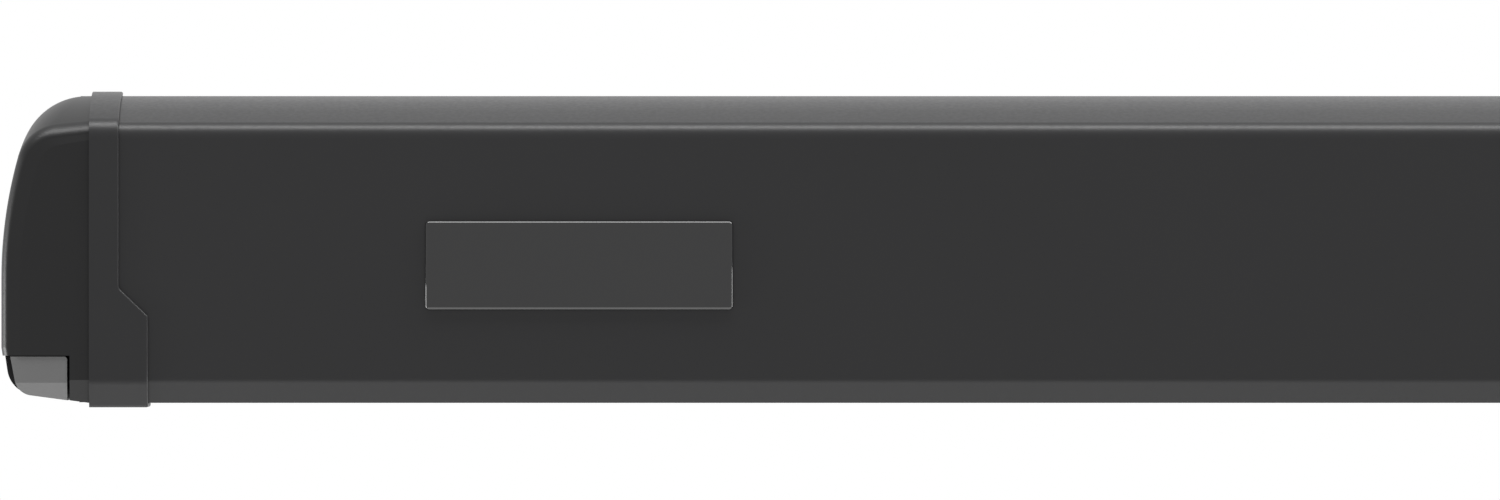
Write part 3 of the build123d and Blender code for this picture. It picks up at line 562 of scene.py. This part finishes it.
def sheet_object(
    name: str, line: list[Point], reach: Point, columns: int, finish: Finish
) -> bpy.types.Object:
    """Build a cloth sheet that follows a line in section and runs straight along the case.

    Args:
        name: the piece's name.
        line: (depth from the wall, height) of each point, in millimetres.
        reach: where it starts and ends along the case, in millimetres.
        columns: how many quads the width has.
        finish: what the cloth is made of.

    Returns:
        The new object, shaded smooth.
    """
    mesh = bpy.data.meshes.new(name)
    form = bmesh.new()
    start, end = reach
    places = [start + (end - start) * i / columns for i in range(columns + 1)]
    rows = [
        [form.verts.new(Vector((along, -depth, height)) * MILLIMETRE) for along in places]
        for depth, height in line
    ]
    for row, following in zip(rows, rows[1:]):
        for i in range(columns):
            face = form.faces.new((row[i], row[i + 1], following[i + 1], following[i]))
            face.smooth = True
    form.to_mesh(mesh)
    form.free()
    return link_object(name, mesh, finish)


@dataclass
class SubAssembly(ABC):
    """What the sub-assemblies share: dressing carried-over solids, and the report."""

    pieces: list[bpy.types.Object] = field(default_factory=list)

    @abstractmethod
    def build(self) -> None:
        """Make and dress the pieces, which each sub-assembly does in its own way."""

    def dress(self, finish: Finish, *stems: str, ends: tuple[Side, ...] = ()) -> None:
        """Give carried-over solids the finish of the real pieces.

        Args:
            finish: what the real pieces are made of.
            stems: the solids' names, without their end.
            ends: the ends that have such a solid, or none where there is one for the whole case.
        """
        names = [f"{stem}_{end.name.lower()}" for stem in stems for end in ends]
        for name in names or stems:
            solid = frame["nodes"][name]
            solid.data.materials.clear()
            solid.data.materials.append(finish.material())
            self.pieces.append(solid)

    def report(self) -> None:
        """Report each piece, its finish and its faces."""
        for piece in self.pieces:
            finish = piece.data.materials[0].name
            log.info("%s: %s, %d faces", piece.name, finish, len(piece.data.polygons))


@dataclass
class WallCase(SubAssembly):
    """Case on the wall: its housing, ends, seal, wall brackets and fasteners."""

    def build(self) -> None:
        """Dress the case."""
        self.dress(POWDER_COAT, "cassette_housing")
        self.dress(POWDER_COAT, "end_plate", ends=BOTH_ENDS)
        self.dress(CAP_PLASTIC, "end_cover", ends=BOTH_ENDS)
        self.dress(RUBBER, "hood_seal")
        self.dress(ZINC, "wall_bracket", ends=BOTH_ENDS)
        self.dress(ZINC, "case_fasteners", "shoulder_pins")


@dataclass
class RollerDrive(SubAssembly):
    """Roller tube with its plugs and bushes, the gearbox and the crank shaft."""

    def build(self) -> None:
        """Dress the roller and its drive."""
        self.dress(MILL_TUBE, "roller_tube")
        self.dress(NYLON, "roller_plugs", "roller_bushes", "gearbox")
        self.dress(ZINC, "crank_shaft")


@dataclass
class LeadRail(SubAssembly):
    """Lead rail with its collars, caps and inserts, the arms' brackets and the bare badge.

    Sizes are in millimetres. The dome is a list of rings, each with how far it lies inside the
    badge's edge and how far it stands out from the rail.
    """

    badge_middle: Point = (-767.6, -5.2)
    badge_size: Point = (97.0, 28.0)
    badge_corner: float = 1.3
    least_corner: float = 0.3
    corner_taper: float = 0.4
    badge_back: float = 118.0
    corner_steps: int = 6
    dome: tuple[Point, ...] = (
        (0.0, 0.0),
        (0.0, 0.6),
        (0.12, 0.9),
        (0.42, 1.16),
        (0.82, 1.36),
        (1.3, 1.47),
        (2.6, 1.53),
        (6.0, 1.58),
        (11.0, 1.6),
    )

    def badge_ring(self, inset: float) -> list[Point]:
        """Work out one ring of the badge's rounded outline.

        Args:
            inset: how far the ring lies inside the badge's edge.

        Returns:
            (along the rail, height) of each point.
        """
        radius = max(self.badge_corner - self.corner_taper * inset, self.least_corner)
        half_width = self.badge_size[0] / 2 - inset - radius
        half_height = self.badge_size[1] / 2 - inset - radius
        ring = []
        for quarter, (along, up) in enumerate(((1, 1), (-1, 1), (-1, -1), (1, -1))):
            corner = (
                self.badge_middle[0] + along * half_width,
                self.badge_middle[1] + up * half_height,
            )
            for step in range(self.corner_steps + 1):
                angle = math.pi / 2 * (quarter + step / self.corner_steps)
                ring.append(around(corner, radius, angle))
        return ring

    def pour_badge(self) -> None:
        """Pour the badge's clear resin as a low dome with a rolled edge, and leave it bare."""
        mesh = bpy.data.meshes.new("badge_dome")
        form = bmesh.new()
        rings = [
            [
                form.verts.new(Vector((along, -self.badge_back - rise, up)) * MILLIMETRE)
                for along, up in self.badge_ring(inset)
            ]
            for inset, rise in self.dome
        ]
        count = len(rings[0])
        for outer, inner in zip(rings, rings[1:]):
            for i in range(count):
                after = (i + 1) % count
                form.faces.new((outer[i], inner[i], inner[after], outer[after])).smooth = True
        form.faces.new(list(reversed(rings[-1]))).smooth = True
        form.faces.new(rings[0])
        bmesh.ops.recalc_face_normals(form, faces=form.faces)
        form.to_mesh(mesh)
        form.free()
        badge = link_object("badge_dome", mesh, BADGE_GLOSS)
        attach(badge, "lead_rail")
        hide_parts("badge_plate")
        self.pieces.append(badge)

    def build(self) -> None:
        """Dress the rail and pour its badge."""
        self.dress(POWDER_COAT, "lead_rail")
        self.dress(POWDER_COAT, "lead_collar", ends=BOTH_ENDS)
        self.dress(CAP_PLASTIC, "lead_cap", ends=BOTH_ENDS)
        self.dress(INSERT_PLASTIC, "corner_insert", ends=BOTH_ENDS)
        self.dress(CAST_ALLOY, "lead_brackets")
        self.dress(ZINC, "lead_pins", "leg_brackets", "leg_pins")
        self.dress(BADGE_GLOSS, "badge_plate")
        self.pour_badge()


@dataclass
class FoldingArm(SubAssembly):
    """One folding arm: its shoulder bracket, two tubes and the cast ends that join them."""

    end: Side = Side.LEFT

    def build(self) -> None:
        """Dress the arm."""
        castings = ("shoulder_bracket", "shoulder_end", "elbow_fork", "elbow_end", "front_end")
        self.dress(CAST_ALLOY, *castings, ends=(self.end,))
        self.dress(ANODISED, "upper_tube", "forearm_tube", ends=(self.end,))
        self.dress(ZINC, "elbow_pin", ends=(self.end,))


@dataclass
class SupportLeg(SubAssembly):
    """One leg: its knuckle, three tubes that slide in each other, two clamps and the foot."""

    end: Side = Side.LEFT

    def build(self) -> None:
        """Dress the leg."""
        self.dress(ANODISED, "outer_leg", "middle_leg", "inner_leg", ends=(self.end,))
        mouldings = ("leg_knuckle", "outer_clamp", "middle_clamp", "leg_foot")
        self.dress(NYLON, *mouldings, ends=(self.end,))


@dataclass
class FabricRun(SubAssembly):
    """The awning cloth: wound on the roller, its free stretch, and the hem round the keder.

    Sizes are in millimetres, and points are (depth from the wall, height).
    """

    roller_centre: Point = (40.0, 16.5)
    roller_radius: float = 23.2
    wound_turns: float = 8.25
    cloth_thickness: float = 0.5
    leave_point: Point = (42.15, 44.27)
    hem_point: Point = (81.6, 41.3)
    keder_centre: Point = (84.3, 41.0)
    keder_radius: float = 2.9
    cord_inset: float = 0.3
    hem_mouth: float = math.radians(14.0)
    half_width: float = 870.0
    cut_length: float = 1450.0
    seam_places: tuple[float, ...] = (-290.0, 290.0)
    seam_width: float = 20.0
    edge_hem_width: float = 25.0
    strip_gap: float = 0.3
    steps_per_turn: int = 56
    hem_steps: int = 28
    cord_steps: int = 24
    columns: int = 12
    strip_columns: int = 2
    rows: int = 40

    @property
    def reach(self) -> Point:
        """Where the cloth starts and ends along the case."""
        return -self.half_width, self.half_width

    def wind(self) -> bpy.types.Object:
        """Wind the cloth on the roller as one long spiral sheet.

        Returns:
            The wound cloth.
        """
        depth, height = self.roller_centre
        leave = math.atan2(self.leave_point[1] - height, self.leave_point[0] - depth)
        steps = round(self.wound_turns * self.steps_per_turn)
        line = []
        for step in range(steps + 1):
            turned = self.wound_turns * step / steps
            radius = self.roller_radius + self.cloth_thickness * turned
            angle = leave + math.tau * (self.wound_turns - turned)
            line.append(around(self.roller_centre, radius, angle))
        roll = sheet_object("wound_cloth", line, self.reach, self.columns, CANVAS)
        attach(roll, "roller")
        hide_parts("fabric_roll")
        return roll

    def draw_out(self, name: str, rise: float, reach: Point, columns: int) -> bpy.types.Object:
        """Lay one sheet from the roll to the lead rail, which draws it out.

        Args:
            name: the sheet's name.
            rise: how far it lies above the cloth.
            reach: where it starts and ends along the case.
            columns: how many quads its width has.

        Returns:
            The sheet, whose front edge is hooked to the lead rail.
        """
        start, end = Vector(self.leave_point), Vector(self.hem_point)
        lift = (end - start).orthogonal().normalized() * rise
        shares = [i / self.rows for i in range(self.rows + 1)]
        line = [tuple(start.lerp(end, share) + lift) for share in shares]
        free = sheet_object(name, line, reach, columns, CANVAS)
        group = free.vertex_groups.new(name="drawn by the rail")
        for i, share in enumerate(shares):
            group.add([i * (columns + 1) + k for k in range(columns + 1)], share, "REPLACE")
        rail = frame["bodies"]["lead_rail"]
        hook = free.modifiers.new("Lead rail", "HOOK")
        hook.object = rail
        hook.vertex_group = group.name
        hook.falloff_type = "NONE"
        hook.matrix_inverse = rail.matrix_world.inverted()
        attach(free, "cassette")
        return free

    def stretch(self) -> bpy.types.Object:
        """Lay the free cloth from the roll to the lead rail.

        Returns:
            The free cloth.
        """
        free = self.draw_out("free_cloth", 0.0, self.reach, self.columns)
        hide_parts("fabric_lead")
        return free

    def welds(self) -> list[bpy.types.Object]:
        """Lay the doubled strips where three widths of cloth overlap, and the two side hems.

        Returns:
            The strips, from left to right.
        """
        middles = [(place, self.seam_width) for place in self.seam_places]
        side = self.half_width - self.edge_hem_width / 2
        middles += [(side * end.value, self.edge_hem_width) for end in Side]
        strips = []
        for number, (middle, width) in enumerate(sorted(middles), start=1):
            name = f"cloth_weld_{number}"
            reach = (middle - width / 2, middle + width / 2)
            strips.append(self.draw_out(name, self.strip_gap, reach, self.strip_columns))
        return strips

    def hem(self) -> bpy.types.Object:
        """Wrap the cloth's welded hem round the keder cord in the rail's groove.

        Returns:
            The hem, without the cord inside it.
        """
        depth, height = self.keder_centre
        mouth = math.atan2(self.hem_point[1] - height, self.hem_point[0] - depth)
        turn = math.tau - 2 * self.hem_mouth
        line = [self.hem_point]
        for step in range(self.hem_steps + 1):
            angle = mouth + self.hem_mouth + turn * step / self.hem_steps
            line.append(around(self.keder_centre, self.keder_radius, angle))
        hem = sheet_object("keder_hem", line, self.reach, self.columns, CANVAS)
        cord_radius = self.keder_radius - self.cord_inset
        cord_line = [
            around(self.keder_centre, cord_radius, math.tau * step / self.cord_steps)
            for step in range(self.cord_steps + 1)
        ]
        cord = sheet_object("keder_cord", cord_line, self.reach, self.columns, NYLON)
        for piece in (hem, cord):
            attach(piece, "lead_rail")
        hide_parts("fabric_keder")
        self.pieces.append(cord)
        return hem

    def build(self) -> None:
        roll, free, welds, hem = self.wind(), self.stretch(), self.welds(), self.hem()
        self.pieces += [roll, free, hem, *welds]
        self.dress(CANVAS, "fabric_roll", "fabric_lead", "fabric_keder")


@dataclass(frozen=True)
class Panel:
    """One soft lamp: its place and target, its two sides in metres and its power in watts."""

    name: str
    place: Place
    target: Place
    sides: Point
    watts: float

    def hang(self) -> None:
        """Add the lamp, out of the camera's sight."""
        data = bpy.data.lights.new(self.name, "AREA")
        data.shape = "RECTANGLE"
        data.size, data.size_y = self.sides
        data.energy = self.watts
        lamp = bpy.data.objects.new(self.name, data)
        lamp.location = self.place
        aim = Vector(self.target) - Vector(self.place)
        lamp.rotation_euler = aim.to_track_quat("-Z", "Y").to_euler()
        lamp.visible_camera = False
        bpy.context.collection.objects.link(lamp)


CASE_MIDDLE: Place = (0.0, -0.1, 0.0)
# The side panels hang below the case, so that its roof doesn't mirror them. The floor panel
# lies just over the floor and lights the undersides.
PANELS = (
    Panel("overhead panel", (0.0, -0.4, 1.8), CASE_MIDDLE, (3.6, 0.6), 88.0),
    Panel("left panel", (-3.2, 0.1, -0.85), CASE_MIDDLE, (1.6, 1.6), 130.0),
    Panel("right panel", (3.2, 0.1, -0.85), CASE_MIDDLE, (1.6, 1.6), 130.0),
    Panel("floor panel", (0.0, -1.1, -2.34), (0.0, -1.1, 0.0), (5.6, 3.6), 100.0),
)


@dataclass
class Studio:
    """Camera, lamps, white surround and pale floor.

    Sizes are in metres, apart from the lens, which is in millimetres. The camera's frame starts
    at the case's left end, is as wide as the photograph at the case's front, and has its middle
    a little below the case's own. The surround looks white, and its light is only the fill.
    """

    left_end: float = -0.95
    frame_width: float = 0.4725
    front_depth: float = 0.118
    lens: float = 520.0
    centre_drop: float = 0.000315
    floor_height: float = -2.345
    floor_size: float = 6.0
    floor_squares: int = 8
    fill: float = 0.4

    def place_camera(self) -> None:
        """Stand the camera square to the front, so that the left end fills the frame."""
        data = bpy.data.cameras.new("camera")
        data.lens = self.lens
        distance = self.frame_width * data.lens / data.sensor_width
        camera = bpy.data.objects.new("camera", data)
        camera.location = (
            self.left_end + self.frame_width / 2,
            -self.front_depth - distance,
            -self.centre_drop,
        )
        camera.rotation_euler = (math.pi / 2, 0.0, 0.0)
        bpy.context.collection.objects.link(camera)
        bpy.context.scene.camera = camera

    def surround(self) -> None:
        """Give the world its plain fill, and a white that camera, gloss and glass see."""
        world = bpy.data.worlds.new("white surround")
        world.use_nodes = True
        tree = world.node_tree
        ground = tree.nodes["Background"]
        ground.inputs["Color"].default_value = linear("#ffffff")
        path = add_node(tree, "ShaderNodeLightPath")
        seen = add_node(
            tree,
            "ShaderNodeMath",
            {0: path.outputs["Is Camera Ray"], 1: path.outputs["Is Glossy Ray"]},
            operation="MAXIMUM",
        )
        seen = add_node(
            tree,
            "ShaderNodeMath",
            {0: seen.outputs["Value"], 1: path.outputs["Is Transmission Ray"]},
            operation="MAXIMUM",
        )
        level = add_node(
            tree,
            "ShaderNodeMapRange",
            {"Value": seen.outputs["Value"], "To Min": self.fill, "To Max": 1.0},
        )
        tree.links.new(level.outputs["Result"], ground.inputs["Strength"])
        bpy.context.scene.world = world

    def lay_floor(self) -> None:
        """Lay a pale floor under the feet of the lowered legs."""
        mesh = bpy.data.meshes.new("floor")
        form = bmesh.new()
        squares = self.floor_squares
        bmesh.ops.create_grid(
            form, x_segments=squares, y_segments=squares, size=self.floor_size / 2
        )
        form.to_mesh(mesh)
        form.free()
        floor = link_object("floor", mesh, FLOOR_PAINT)
        floor.location.z = self.floor_height

    def build(self) -> None:
        """Set up the whole studio."""
        bpy.context.scene.view_settings.view_transform = "Standard"
        self.place_camera()
        for panel in PANELS:
            panel.hang()
        self.surround()
        self.lay_floor()


def main() -> None:
    """Set up the studio, then build and report each sub-assembly in turn."""
    Studio().build()
    assemblies: list[SubAssembly] = [WallCase(), RollerDrive(), LeadRail()]
    for end in Side:
        assemblies += [FoldingArm(end=end), SupportLeg(end=end)]
    assemblies.append(FabricRun())
    for assembly in assemblies:
        assembly.build()
        assembly.report()


if __name__ == "__main__":
    main()
